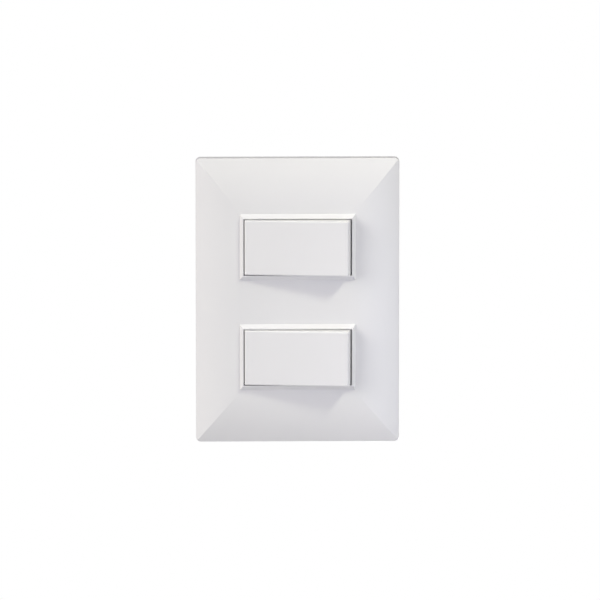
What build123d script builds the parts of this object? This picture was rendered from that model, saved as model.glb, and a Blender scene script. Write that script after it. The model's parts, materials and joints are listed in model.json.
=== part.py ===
from build123d import *
import os
from math import asin, cos, degrees, radians, sin, sqrt

# A wall switch with two rocker keys, one above the other, in a bevelled cover plate.
# X runs right, Z up and Y into the wall. The wall's face is Y = 0, and the origin lies
# midway between the two box screws. A "rise" is a distance out of the wall, towards the room.

# Mounting frame, which rests on the wall and is screwed to the box
frame_rise = 4.0
frame_sheet = 1.8
frame_inset = 6.0
frame_rim = 1.6
frame_corner = 4.0
frame_rib = 1.2
frame_rib_x = 9.0
window_end_gap = 0.3
window_side_gap = 0.35

# Box screws and their slotted pads in the frame
box_spacing = 83.5
screw_radius = 1.75
screw_neck_radius = 1.5
screw_length = 22.0
screw_tip_chamfer = 0.8
screw_head_radius = 3.5
screw_head_height = 2.2
screw_head_chamfer = 0.4
screw_seat = 2.0
slot_travel = 4.0
slot_gap = 0.3
recess_gap = 0.4
pad_wall = 1.6
driver_slot_width = 1.0
driver_slot_depth = 1.1

# Cover plate
plate_width = 82.0
plate_height = 116.0
plate_wall = 2.0
plate_corner = 2.0
plate_drop = 4.2
plate_rim_round = 0.5
side_bevel = 17.6
end_bevel = 21.0

# Collars that stand round the keys
module_spacing = 45.0
collar_rise = 1.45
collar_side_band = 1.55
collar_end_band = 1.95
collar_lip = 0.4
collar_skirt = 0.8
collar_skirt_wall = 1.2
skirt_gap = 0.4

# Snap legs that hold the plate to the frame
leg_x = 16.0
leg_width = 6.0
leg_thickness = 1.2
leg_to_rim = 1.75
leg_slot_gap = 0.25
leg_barb = 0.75
leg_foot_rise = 0.6
barb_gap = 0.1

# Rocker keys
key_length = 41.9
key_height = 22.4
key_face = 1.8
key_wall = 1.2
key_tilt = 6.5
key_proud = 0.3
key_end_gap = 0.85
key_end_swell = 0.42
key_end_lean = 9.693
key_side_gap = 0.3
key_stop_gap = 0.3
key_edge_round = 0.65
key_corner_round = 0.3
rib_wall = 1.0
rib_depth = 2.4
rib_x = 12.5

# Key pivot
pivot_over_deck = 5.0
trunnion_radius = 1.5
trunnion_length = 1.6
trunnion_gap = 0.05
post_thickness = 1.4
post_side_gap = 0.3
post_top_gap = 0.5

# Switch cover, the deck under each key
deck_side_inset = 0.05
deck_thickness = 1.6
deck_drop = 1.4
deck_hole_length = 11.0
deck_hole_height = 8.6
riser_wall = 0.9
riser_gap = 0.23
ear_thickness = 1.2
ear_reach = 2.3
ear_height = 16.0
frame_barb = 1.1
frame_barb_edge = 0.3
frame_barb_height = 8.0

# Snap hooks between the switch cover and the switch body
hook_x = 12.0
hook_width = 3.6
hook_thickness = 1.0
hook_wall_gap = 0.15
hook_barb = 0.7
hook_drop = 2.7
hook_barb_depth = 1.4
hook_foot = 0.5
hook_slot_gap = 0.2

# Switch body
body_end_inset = 1.2
body_side_inset = 0.1
body_depth = 24.0
body_wall = 1.3
body_corner = 1.5
body_back_chamfer = 0.8
barrier_wall = 5.0
anvil_wall = 3.0
stop_wall = 1.4
stop_gap = 0.12
strip_slot_gap = 0.6
pocket_wall = 1.2
pocket_gap = 0.3
pocket_depth = 12.0

# Plunger and its spring
plunger_radius = 2.0
plunger_gap = 0.075
plunger_nose = 2.7
tip_round = 1.2
tip_gap = 0.15
pip_radius = 1.0
pip_height = 1.0
boss_wall = 1.4
boss_roof = 0.7
boss_below_deck = 0.4
spring_length = 4.8
spring_radius = 1.575
spring_wire = 0.45
spring_turns = 3.5
spring_wire_sides = 8
spring_seat_gap = 0.05

# Contact bridge, the seesaw that the plunger tips over
bridge_drop = 5.6
bridge_tilt = 7.0
bridge_strip = 0.7
bridge_reach = 9.5
bridge_width = 4.8
bridge_lift = 0.75
bridge_pad_width = 7.2
bridge_pad_length = 3.2
bridge_pad_round = 0.8
lug_radius = 0.7
lug_gap = 0.05
lug_reach = 3.9
contact_x = 8.0
contact_radius = 1.6
contact_height = 1.0
contact_dome = 6.0
contact_gap = 0.15
fixed_contact_radius = 1.9

# Terminals
strip = 0.8
strip_width = 4.0
ear_x = 2.5
fulcrum_gap = 0.3
fulcrum_top = 0.7
pillar_length = 6.4
pillar_height = 7.0
pillar_end_gap = 0.8
pillar_floor_gap = 0.3
wire_radius = 1.7
wire_inset = 3.8
wire_depth = 11.0
wire_mouth_gap = 0.3
wire_mouth_chamfer = 0.5
clamp_over_back = 9.5
clamp_radius = 1.5
clamp_gap = 0.05
clamp_tip_gap = 0.2
clamp_head_radius = 2.5
clamp_head_height = 1.5
clamp_head_gap = 0.4
clamp_access_gap = 0.6

# Levels, all counted out of the wall
sheet_under = frame_rise - frame_sheet
ear_top = frame_rise + ear_thickness
deck_rise = frame_rise - deck_drop
body_front = deck_rise - deck_thickness
body_back = body_front - body_depth
body_floor = body_back + body_wall
skirt_foot = ear_top + skirt_gap
plate_inside = skirt_foot + collar_skirt
plate_rise = plate_inside + plate_wall
lip_rise = plate_rise + collar_rise
pivot_rise = deck_rise + pivot_over_deck
bridge_rise = body_front - bridge_drop
clamp_rise = body_back + clamp_over_back

# Plate bevels are arcs that run out of the flat middle
middle_width = plate_width - 2 * side_bevel
middle_height = plate_height - 2 * end_bevel
side_radius = (side_bevel**2 + plate_drop**2) / (2 * plate_drop)
end_radius = (end_bevel**2 + plate_drop**2) / (2 * plate_drop)

# Openings, collars and decks follow the keys
opening_length = key_length + 2 * key_end_gap
opening_height = key_height + 2 * key_side_gap
collar_length = opening_length + 2 * collar_side_band
collar_height = opening_height + 2 * collar_end_band
lip_length = opening_length + 2 * collar_lip
lip_height = opening_height + 2 * collar_lip
key_end_x = key_length / 2 + key_end_swell
deck_length = 2 * (key_end_x + riser_gap + riser_wall)
deck_height = key_height - 2 * deck_side_inset
module_heights = (module_spacing / 2, -module_spacing / 2)

# Frame and plate legs
frame_width = plate_width - 2 * frame_inset
frame_height = plate_height - 2 * frame_inset
window_length = deck_length + 2 * window_end_gap
window_height = deck_height + 2 * window_side_gap
leg_outside = frame_height / 2 - frame_rim - leg_to_rim
leg_z = leg_outside - leg_thickness / 2

# Key section, counted from the pivot along the key's own normal. Its end arcs hang from the face
tilt_sin, tilt_cos = sin(radians(key_tilt)), cos(radians(key_tilt))
key_top = (lip_rise + key_proud - pivot_rise + key_length / 2 * tilt_sin) / tilt_cos
key_inside = key_top - key_face
skirt_middle = (pivot_over_deck - key_stop_gap) / tilt_cos
key_end_radius = key_end_swell / (1 - cos(radians(key_end_lean)))
key_waist = key_top - key_end_radius * sin(radians(key_end_lean))
skirt_end = skirt_middle - key_end_x * tilt_sin / tilt_cos
skirt_x = key_end_x - key_end_radius + sqrt(key_end_radius**2 - (skirt_end + key_waist) ** 2)
bore_radius = plunger_radius + plunger_gap
boss_radius = bore_radius + boss_wall
boss_reach = pivot_over_deck + deck_thickness + boss_below_deck
bore_top = key_inside - boss_roof
plunger_top = bore_top - spring_length
post_outside = key_height / 2 - key_wall - post_side_gap
post_round = key_inside - post_top_gap

# Seesaw: the plunger's tip swings through this path in the bridge's own frame
pan_sin, pan_cos = sin(radians(bridge_tilt)), cos(radians(bridge_tilt))
tip_reach = pivot_rise - bridge_rise - bridge_strip / 2 - tip_gap
tip_centre = tip_reach - tip_round
centre_low = pivot_rise - bridge_rise - tip_centre
centre_high = pivot_rise - bridge_rise - tip_centre * tilt_cos
path_run = tip_centre * tilt_sin * pan_cos - centre_high * pan_sin
path_lift = tip_centre * tilt_sin * pan_sin + centre_high * pan_cos - centre_low
path_radius = (path_run**2 + path_lift**2) / (2 * path_lift)
trough_radius = path_radius + tip_round + tip_gap
arm_top = bridge_lift + bridge_strip / 2
arm_under = bridge_lift - bridge_strip / 2

# Contacts meet, but for their gap, when the bridge lies on the closed side
dome_centre = arm_under - contact_height + contact_dome
closed_low = bridge_rise - contact_x * pan_sin + dome_centre * pan_cos - contact_dome
fixed_contact_x = contact_x * pan_cos + dome_centre * pan_sin
fixed_top = closed_low - contact_gap
strip_top = fixed_top - contact_height
strip_under = strip_top - strip
stop_rise = bridge_rise - bridge_reach * pan_sin + arm_under * pan_cos - stop_gap
stop_x = bridge_reach * pan_cos - stop_wall / 2

# Switch body inside and terminals
body_length = deck_length - 2 * body_end_inset
body_height = deck_height - 2 * body_side_inset
inner_length = body_length - 2 * body_wall
inner_height = body_height - 2 * body_wall
hook_outside = inner_height / 2 - hook_wall_gap
pillar_outside = inner_length / 2 - pillar_end_gap
pillar_x = pillar_outside - pillar_length / 2
pillar_back = body_floor + pillar_floor_gap
wire_x = pillar_outside - wire_inset
fulcrum_inside = bridge_width / 2 + fulcrum_gap
fulcrum_outside = fulcrum_inside + strip


def facing(rise, z=0.0, tilt=0.0, axis_rise=0.0):
    """A plane that faces the room. With a tilt, its right end is swung out about an upright axis."""
    swing, reach = sin(radians(tilt)), cos(radians(tilt))
    at_axis = Plane(origin=(0, -axis_rise, z), x_dir=(reach, -swing, 0), z_dir=(-swing, -reach, 0))
    return at_axis.offset(rise)


def level(z=0.0, tilt=0.0, axis_rise=0.0):
    """A level cut: local x runs right, local y out of the wall from the axis, both swung by the tilt."""
    swing, reach = sin(radians(tilt)), cos(radians(tilt))
    return Plane(origin=(0, -axis_rise, z), x_dir=(reach, -swing, 0), z_dir=(0, 0, -1))


def upright(x=0.0):
    """An upright cut across the switch: local x runs up, local y out of the wall."""
    return Plane(origin=(x, 0, 0), x_dir=(0, 0, 1), z_dir=(1, 0, 0))


def write(piece, node):
    """Labels a finished piece and writes it to its own file."""
    piece.label = node
    export_step(piece, f"parts/{node}.step")


def bevel_rise(radius, run, top):
    """How far out of the wall a bevel's arc lies, a run away from the flat middle."""
    return top - radius + sqrt(radius**2 - run**2)


def bevelled_profile(plane, width, middle, top, radius):
    """A flat-topped section whose two ends fall away along arcs."""
    run = (width - middle) / 2
    rim = bevel_rise(radius, run, top)
    turn = degrees(asin(run / radius))
    with BuildSketch(plane) as profile:
        with BuildLine():
            Polyline((-width / 2, rim), (-width / 2, 0), (width / 2, 0), (width / 2, rim))
            CenterArc((middle / 2, top - radius), radius, 90 - turn, turn)
            Line((middle / 2, top), (-middle / 2, top))
            CenterArc((-middle / 2, top - radius), radius, 90, turn)
        make_face()
    return profile.sketch


def pillow(width, height, top, inset):
    """A block with a flat middle and four curved bevels that meet in mitred ridges."""
    across = bevelled_profile(level(), width, middle_width, top, side_radius - inset)
    along = bevelled_profile(upright(), height, middle_height, top, end_radius - inset)
    with BuildPart() as block:
        extrude(across, amount=height / 2, both=True)
        extrude(along, amount=width / 2, both=True, mode=Mode.INTERSECT)
    return block.part


def build_cover_plate():
    """The front plate: a shallow bevelled shell with two raised collars and four snap legs behind."""
    hollow = pillow(plate_width - 2 * plate_wall, plate_height - 2 * plate_wall, plate_inside, plate_wall)
    leg_run = leg_z - middle_height / 2
    leg_root = bevel_rise(end_radius - plate_wall, leg_run, plate_inside) + plate_wall / 2
    barb_top = sheet_under - barb_gap
    with BuildPart() as plate:
        add(pillow(plate_width + 2 * plate_wall, plate_height + 2 * plate_wall, plate_rise, 0))
        with BuildSketch(facing(0)):
            RectangleRounded(plate_width, plate_height, plate_corner)
        extrude(amount=plate_rise, mode=Mode.INTERSECT)
        rim_rise = plate_rise - plate_drop
        rim = plate.edges().filter_by(Axis.Y, reverse=True)
        fillet(rim.filter_by_position(Axis.Y, -rim_rise - plate_drop / 4, -rim_rise / 2), plate_rim_round)
        add(hollow, mode=Mode.SUBTRACT)
        for z in module_heights:
            with BuildSketch(facing(skirt_foot, z)):
                Rectangle(opening_length + 2 * collar_skirt_wall, opening_height + 2 * collar_skirt_wall)
            extrude(amount=collar_skirt)
            with BuildSketch(facing(plate_inside, z)):
                Rectangle(collar_length, collar_height)
            extrude(amount=plate_wall)
            with BuildSketch(facing(plate_rise, z)):
                Rectangle(collar_length, collar_height)
            with BuildSketch(facing(lip_rise, z)):
                Rectangle(lip_length, lip_height)
            loft()
            with BuildSketch(facing(skirt_foot, z)):
                Rectangle(opening_length, opening_height)
            extrude(amount=lip_rise - skirt_foot, mode=Mode.SUBTRACT)
        for x in (-leg_x, leg_x):
            with BuildSketch(upright(x)):
                with BuildLine():
                    Polyline(
                        (leg_outside - leg_thickness, leg_root),
                        (leg_outside - leg_thickness, leg_foot_rise),
                        (leg_outside, leg_foot_rise),
                        (leg_outside + leg_barb, barb_top - leg_barb / 2),
                        (leg_outside + leg_barb, barb_top),
                        (leg_outside, barb_top),
                        (leg_outside, leg_root),
                        close=True,
                    )
                make_face()
                mirror(about=Plane.YZ)
            extrude(amount=leg_width / 2, both=True)
    write(plate.part, "cover_plate")


def build_mounting_frame():
    """The frame behind the plate: a rimmed sheet with two module windows and two slotted screw pads."""
    recess_width = 2 * (screw_head_radius + recess_gap)
    hole_width = 2 * (screw_radius + slot_gap)
    with BuildPart() as frame:
        with BuildSketch(facing(0)):
            RectangleRounded(frame_width, frame_height, frame_corner)
        extrude(amount=frame_rise)
        with BuildSketch(facing(0)):
            RectangleRounded(frame_width - 2 * frame_rim, frame_height - 2 * frame_rim, frame_corner - frame_rim)
        extrude(amount=sheet_under, mode=Mode.SUBTRACT)
        with BuildSketch(facing(0)):
            with GridLocations(2 * frame_rib_x, 0, 2, 1):
                Rectangle(frame_rib, frame_height - 2 * frame_rim)
            with GridLocations(0, module_spacing, 1, 2):
                Rectangle(window_length, window_height + 2 * frame_rib)
        extrude(amount=sheet_under)
        with BuildSketch(facing(0)):
            with GridLocations(0, box_spacing, 1, 2):
                SlotOverall(recess_width + slot_travel + 2 * pad_wall, recess_width + 2 * pad_wall)
        extrude(amount=frame_rise)
        with BuildSketch(facing(screw_seat)):
            with GridLocations(0, box_spacing, 1, 2):
                SlotOverall(recess_width + slot_travel, recess_width)
        extrude(amount=frame_rise - screw_seat, mode=Mode.SUBTRACT)
        with BuildSketch(facing(0)):
            with GridLocations(0, box_spacing, 1, 2):
                SlotOverall(hole_width + slot_travel, hole_width)
            with GridLocations(0, module_spacing, 1, 2):
                Rectangle(window_length, window_height)
            with GridLocations(2 * leg_x, 2 * leg_z, 2, 2):
                Rectangle(leg_width + 2 * leg_slot_gap, leg_thickness + 2 * leg_slot_gap)
        extrude(amount=frame_rise, mode=Mode.SUBTRACT)
    write(frame.part, "mounting_frame")


def build_box_screws():
    """The two screws that hold the frame to the wall box, with a thin neck under a slotted cheese head."""
    head_top = screw_seat + screw_head_height
    with BuildPart() as screws:
        for z in (-box_spacing / 2, box_spacing / 2):
            with BuildSketch(level(z)):
                with BuildLine():
                    Polyline(
                        (0, head_top),
                        (0, -screw_length),
                        (screw_radius - screw_tip_chamfer, -screw_length),
                        (screw_radius, screw_tip_chamfer - screw_length),
                        (screw_radius, 0),
                        (screw_neck_radius, 0),
                        (screw_neck_radius, screw_seat),
                        (screw_head_radius, screw_seat),
                        (screw_head_radius, head_top - screw_head_chamfer),
                        (screw_head_radius - screw_head_chamfer, head_top),
                        close=True,
                    )
                make_face()
            revolve(axis=Axis((0, 0, z), (0, 1, 0)))
            with BuildSketch(facing(head_top, z)):
                Rectangle(3 * screw_head_radius, driver_slot_width)
            extrude(amount=-driver_slot_depth, mode=Mode.SUBTRACT)
    write(screws.part, "box_screws")


def build_switch_body(module, z):
    """The moulded cup of one switch, with barrier walls, terminal pockets, wire entries and snap slots."""
    hook_barb_top = body_front - hook_drop
    pocket_side = pillar_height / 2 + pocket_gap
    rib_height = inner_height / 2 - pocket_side
    stop_inside = strip_width / 2 + strip_slot_gap
    stop_height = inner_height / 2 - stop_inside
    with BuildPart() as body:
        with BuildSketch(facing(body_back, z)):
            RectangleRounded(body_length, body_height, body_corner)
        extrude(amount=body_depth)
        chamfer(body.faces().sort_by(Axis.Y)[-1].edges(), body_back_chamfer)
        with BuildSketch(facing(body_floor, z)):
            Rectangle(inner_length, inner_height)
        extrude(amount=body_depth - body_wall, mode=Mode.SUBTRACT)
        with BuildSketch(facing(body_floor, z)):
            Rectangle(barrier_wall, inner_height)
            with Locations((-fixed_contact_x, 0)):
                Rectangle(anvil_wall, inner_height)
        extrude(amount=strip_under - body_floor)
        with BuildSketch(facing(body_floor, z)):
            with Locations((stop_x, stop_inside + stop_height / 2), (stop_x, -stop_inside - stop_height / 2)):
                Rectangle(stop_wall, stop_height)
        extrude(amount=stop_rise - body_floor)
        with BuildSketch(facing(body_floor, z)):
            with GridLocations(2 * pillar_x, 2 * pocket_side + rib_height, 2, 2):
                Rectangle(pocket_wall, rib_height)
        extrude(amount=pocket_depth)
        with BuildSketch(facing(body_back, z)):
            with GridLocations(2 * wire_x, 0, 2, 1):
                Circle(wire_radius + wire_mouth_gap)
        extrude(amount=body_wall, mode=Mode.SUBTRACT)
        mouths = body.faces().sort_by(Axis.Y)[-1].edges().filter_by(lambda edge: edge.is_closed)
        chamfer(mouths, wire_mouth_chamfer)
        for side in (-1, 1):
            with BuildSketch(upright(side * body_length / 2)):
                with Locations((z, clamp_rise)):
                    Circle(clamp_head_radius + clamp_access_gap)
            extrude(amount=-side * body_wall, mode=Mode.SUBTRACT)
        with BuildSketch(level(z)):
            with GridLocations(2 * hook_x, 0, 2, 1):
                with Locations((0, hook_barb_top - hook_barb_depth / 2)):
                    Rectangle(hook_width + 2 * hook_slot_gap, hook_barb_depth + 2 * hook_slot_gap)
        extrude(amount=body_height / 2, both=True, mode=Mode.SUBTRACT)
    write(body.part, f"{module}_switch_body")


def build_switch_cover(module, z):
    """The deck that closes the cup: bearing posts for the key, ears on the frame and snap hooks below."""
    deck_end = deck_length / 2
    barb_top = sheet_under - barb_gap
    hook_top = body_front - hook_drop
    with BuildPart() as cover:
        with BuildSketch(facing(body_front, z)):
            Rectangle(deck_length, deck_height)
            Rectangle(deck_hole_length, deck_hole_height, mode=Mode.SUBTRACT)
        extrude(amount=deck_thickness)
        with BuildSketch(level(z)):
            with BuildLine():
                Polyline(
                    (deck_end - riser_wall, body_front),
                    (deck_end - riser_wall, ear_top),
                    (deck_end + ear_reach, ear_top),
                    (deck_end + ear_reach, frame_rise),
                    (deck_end, frame_rise),
                    (deck_end, body_front),
                    close=True,
                )
            make_face()
            mirror(about=Plane.YZ)
        extrude(amount=ear_height / 2, both=True)
        with BuildSketch(level(z)):
            with BuildLine():
                Polyline(
                    (deck_end, body_front),
                    (deck_end, barb_top),
                    (deck_end + frame_barb, barb_top),
                    (deck_end + frame_barb, barb_top - frame_barb_edge),
                    close=True,
                )
            make_face()
            mirror(about=Plane.YZ)
        extrude(amount=frame_barb_height / 2, both=True)
        for side in (-1, 1):
            with BuildSketch(level(z + side * post_outside)):
                with Locations((0, (deck_rise + pivot_rise) / 2)):
                    Rectangle(2 * post_round, pivot_over_deck)
                with Locations((0, pivot_rise)):
                    Circle(post_round)
                    Circle(trunnion_radius + trunnion_gap, mode=Mode.SUBTRACT)
            extrude(amount=side * post_thickness)
        for x in (-hook_x, hook_x):
            for side in (-1, 1):
                with BuildSketch(upright(x)):
                    with BuildLine():
                        Polyline(
                            (z + side * hook_outside, body_front),
                            (z + side * hook_outside, hook_top),
                            (z + side * (hook_outside + hook_barb), hook_top),
                            (z + side * hook_outside, hook_top - hook_barb_depth),
                            (z + side * hook_outside, hook_top - hook_barb_depth - hook_foot),
                            (z + side * (hook_outside - hook_thickness), hook_top - hook_barb_depth - hook_foot),
                            (z + side * (hook_outside - hook_thickness), body_front),
                            close=True,
                        )
                    make_face()
                extrude(amount=hook_width / 2, both=True)
    write(cover.part, f"{module}_switch_cover")


def build_rocker(module, z):
    """One key: a flat-faced hollow rocker with bulged ends, trunnions and a spring socket."""
    key_level = level(z, key_tilt, pivot_rise)
    outward = Axis(key_level.origin, facing(0, z, key_tilt, pivot_rise).z_dir)
    inner_side = key_height / 2 - key_wall
    with BuildPart() as key:
        with BuildSketch(key_level):
            with BuildLine():
                Line((-key_length / 2, key_top), (key_length / 2, key_top))
                ThreePointArc((key_length / 2, key_top), (key_end_x, key_waist), (skirt_x, -skirt_end))
                Polyline((skirt_x, -skirt_end), (0, -skirt_middle), (-skirt_x, -skirt_end))
                ThreePointArc((-skirt_x, -skirt_end), (-key_end_x, key_waist), (-key_length / 2, key_top))
            make_face()
        extrude(amount=key_height / 2, both=True)
        fillet(key.faces().sort_by(outward)[-1].edges(), key_edge_round)
        ends = key.edges().filter_by(GeomType.CIRCLE).filter_by(lambda edge: edge.length > key_top)
        fillet(ends, key_corner_round)
        with BuildSketch(facing(key_inside, z, key_tilt, pivot_rise)):
            Rectangle(key_length - 2 * key_wall, key_height - 2 * key_wall)
        extrude(amount=-key_inside - skirt_middle, mode=Mode.SUBTRACT)
        with BuildSketch(facing(key_inside, z, key_tilt, pivot_rise)):
            Rectangle(key_length - 2 * key_wall, rib_wall)
            with GridLocations(2 * rib_x, 0, 2, 1):
                Rectangle(rib_wall, key_height - 2 * key_wall)
        extrude(amount=-rib_depth)
        with BuildSketch(facing(key_inside, z, key_tilt, pivot_rise)):
            Circle(boss_radius)
        extrude(amount=-key_inside - boss_reach)
        with BuildSketch(facing(-boss_reach, z, key_tilt, pivot_rise)):
            Circle(bore_radius)
        extrude(amount=boss_reach + bore_top, mode=Mode.SUBTRACT)
        for side in (-1, 1):
            with BuildSketch(level(z + side * inner_side, key_tilt, pivot_rise)):
                Circle(trunnion_radius)
            extrude(amount=side * trunnion_length)
    write(key.part, f"{module}_rocker")


def build_plunger(module, z):
    """The plunger that slides in the key's socket and presses on the contact bridge."""
    key_level = level(z, key_tilt, pivot_rise)
    inward = Axis(key_level.origin, facing(0, z, key_tilt, pivot_rise).z_dir)
    with BuildPart() as plunger:
        with BuildSketch(key_level):
            with BuildLine():
                Polyline(
                    (0, -tip_reach),
                    (0, plunger_top + pip_height),
                    (pip_radius, plunger_top + pip_height),
                    (pip_radius, plunger_top),
                    (plunger_radius, plunger_top),
                    (plunger_radius, plunger_nose - tip_reach),
                    (tip_round, -tip_centre),
                )
                CenterArc((0, -tip_centre), tip_round, 0, -90)
            make_face()
        revolve(axis=inward)
    write(plunger.part, f"{module}_plunger")


def build_plunger_spring(module, z):
    """The coil spring between the socket's roof and the plunger."""
    outward = facing(0, z, key_tilt, pivot_rise).z_dir
    coil_height = spring_length - spring_wire - 2 * spring_seat_gap
    foot = facing(plunger_top + spring_wire / 2 + spring_seat_gap, z, key_tilt, pivot_rise)
    with BuildPart() as spring:
        with BuildLine():
            coil = Helix(coil_height / spring_turns, coil_height, spring_radius, foot.origin, outward)
        with BuildSketch(Plane(origin=coil @ 0, z_dir=coil % 0)):
            RegularPolygon(spring_wire / 2, spring_wire_sides)
        sweep(path=coil, is_frenet=True)
    write(spring.part, f"{module}_plunger_spring")


def build_contact_bridge(module, z):
    """The seesaw strip: a trough that the plunger's tip rolls through, two arms and two pivot lugs."""
    trough_run = sqrt(trough_radius**2 - (trough_radius - bridge_lift) ** 2)
    under_radius = trough_radius + bridge_strip
    under_run = sqrt(under_radius**2 - (under_radius - bridge_lift) ** 2)
    with BuildPart() as bridge:
        with BuildSketch(level(z, -bridge_tilt, bridge_rise)):
            with BuildLine():
                ThreePointArc((-trough_run, arm_top), (0, bridge_strip / 2), (trough_run, arm_top))
                Polyline(
                    (trough_run, arm_top),
                    (bridge_reach, arm_top),
                    (bridge_reach, arm_under),
                    (under_run, arm_under),
                )
                ThreePointArc((under_run, arm_under), (0, -bridge_strip / 2), (-under_run, arm_under))
                Polyline(
                    (-under_run, arm_under),
                    (-bridge_reach, arm_under),
                    (-bridge_reach, arm_top),
                    (-trough_run, arm_top),
                )
            make_face()
        extrude(amount=bridge_pad_width / 2, both=True)
        with BuildSketch(facing(-bridge_strip, z, -bridge_tilt, bridge_rise)):
            Rectangle(2 * bridge_reach - bridge_pad_length, bridge_width)
            with GridLocations(2 * bridge_reach - bridge_pad_length, 0, 2, 1):
                RectangleRounded(bridge_pad_length, bridge_pad_width, bridge_pad_round)
        extrude(amount=arm_top + 2 * bridge_strip, mode=Mode.INTERSECT)
        for side in (-1, 1):
            with BuildSketch(level(z + side * lug_reach, -bridge_tilt, bridge_rise)):
                Circle(lug_radius)
            extrude(amount=side * (lug_reach - bridge_width / 2))
    write(bridge.part, f"{module}_contact_bridge")


def build_moving_contact(module, z):
    """The domed contact button under the bridge's left arm."""
    button_level = level(z, -bridge_tilt, bridge_rise)
    button_axis = Axis(button_level.from_local_coords((-contact_x, 0, 0)), button_level.y_dir)
    edge_low = dome_centre - sqrt(contact_dome**2 - contact_radius**2)
    with BuildPart() as button:
        with BuildSketch(button_level):
            with BuildLine():
                Polyline(
                    (-contact_x, arm_under - contact_height),
                    (-contact_x, arm_under),
                    (contact_radius - contact_x, arm_under),
                    (contact_radius - contact_x, edge_low),
                )
                RadiusArc(
                    (contact_radius - contact_x, edge_low),
                    (-contact_x, arm_under - contact_height),
                    contact_dome,
                )
            make_face()
        revolve(axis=button_axis)
    write(button.part, f"{module}_moving_contact")


def build_fixed_contact(module, z):
    """The contact button on the load terminal's strip."""
    with BuildPart() as button:
        with BuildSketch(facing(strip_top, z)):
            with Locations((-fixed_contact_x, 0)):
                Circle(fixed_contact_radius)
        extrude(amount=contact_height)
    write(button.part, f"{module}_fixed_contact")


def terminal_pillar(side, z):
    """A clamp block with a blind wire bore from behind and a screw hole through its outer end."""
    with BuildPart() as pillar:
        with BuildSketch(facing(pillar_back, z)):
            with Locations((side * pillar_x, 0)):
                Rectangle(pillar_length, pillar_height)
        extrude(amount=strip_under - pillar_back)
        with BuildSketch(facing(pillar_back, z)):
            with Locations((side * wire_x, 0)):
                Circle(wire_radius)
        extrude(amount=wire_depth, mode=Mode.SUBTRACT)
        with BuildSketch(upright(side * pillar_outside)):
            with Locations((z, clamp_rise)):
                Circle(clamp_radius + clamp_gap)
        extrude(amount=-side * wire_inset, mode=Mode.SUBTRACT)
    return pillar.part


def build_common_terminal(module, z):
    """The right terminal: its strip runs to the middle and carries the bridge between two notched ears."""
    strip_end = pillar_outside + ear_x
    with BuildPart() as terminal:
        add(terminal_pillar(1, z))
        with BuildSketch(facing(strip_under, z)):
            with Locations((pillar_outside - strip_end / 2, 0)):
                Rectangle(strip_end, strip_width)
            with Locations((pillar_x, 0)):
                Rectangle(pillar_length, pillar_height)
            Rectangle(2 * ear_x, 2 * fulcrum_outside)
        extrude(amount=strip)
        for side in (-1, 1):
            with BuildSketch(level(z + side * fulcrum_outside)):
                with Locations((0, (strip_under + bridge_rise + fulcrum_top) / 2)):
                    Rectangle(2 * ear_x, bridge_rise + fulcrum_top - strip_under)
                with Locations((0, bridge_rise)):
                    Circle(lug_radius + lug_gap, mode=Mode.SUBTRACT)
                with Locations((0, bridge_rise + fulcrum_top / 2)):
                    Rectangle(2 * (lug_radius + lug_gap), fulcrum_top, mode=Mode.SUBTRACT)
            extrude(amount=side * strip)
    write(terminal.part, f"{module}_common_terminal")


def build_load_terminal(module, z):
    """The left terminal: a short strip that carries the fixed contact on the anvil wall."""
    strip_length = pillar_outside - fixed_contact_x + fixed_contact_radius
    with BuildPart() as terminal:
        add(terminal_pillar(-1, z))
        with BuildSketch(facing(strip_under, z)):
            with Locations((strip_length / 2 - pillar_outside, 0)):
                Rectangle(strip_length, strip_width)
            with Locations((-pillar_x, 0)):
                Rectangle(pillar_length, pillar_height)
        extrude(amount=strip)
    write(terminal.part, f"{module}_load_terminal")


def build_terminal_screws(module, z):
    """The two clamp screws, backed off, with their slotted heads in the end walls."""
    head_in = pillar_outside + clamp_head_gap
    head_out = head_in + clamp_head_height
    tip = wire_x + wire_radius + clamp_tip_gap
    with BuildPart() as screws:
        with BuildSketch(level(z)):
            with BuildLine():
                Polyline(
                    (tip, clamp_rise),
                    (tip, clamp_rise + clamp_radius),
                    (head_in, clamp_rise + clamp_radius),
                    (head_in, clamp_rise + clamp_head_radius),
                    (head_out, clamp_rise + clamp_head_radius),
                    (head_out, clamp_rise),
                    close=True,
                )
            make_face()
        revolve(axis=Axis((0, -clamp_rise, z), (1, 0, 0)))
        with BuildSketch(upright(head_out)):
            with Locations((z, clamp_rise)):
                Rectangle(3 * clamp_head_radius, driver_slot_width)
        extrude(amount=-driver_slot_depth, mode=Mode.SUBTRACT)
        mirror(about=Plane.YZ)
    write(screws.part, f"{module}_terminal_screws")


os.makedirs("parts", exist_ok=True)
build_cover_plate()
build_mounting_frame()
build_box_screws()
for module, z in zip(("upper", "lower"), module_heights):
    build_switch_body(module, z)
    build_switch_cover(module, z)
    build_common_terminal(module, z)
    build_load_terminal(module, z)
    build_fixed_contact(module, z)
    build_terminal_screws(module, z)
    build_rocker(module, z)
    build_plunger(module, z)
    build_plunger_spring(module, z)
    build_contact_bridge(module, z)
    build_moving_contact(module, z)
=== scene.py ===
"""Looks for a wall switch: a bevelled cover plate, two rocker keys and what works behind them.

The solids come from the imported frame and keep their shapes. This script gives each of them the
finish that its making leaves, cuts threads on the screws, winds the springs from round wire, and
lights the switch in a plain white studio.
"""

import json
import logging
import math
from dataclasses import dataclass
from enum import Enum

import bmesh
import bpy
from mathutils import Matrix, Vector

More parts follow.
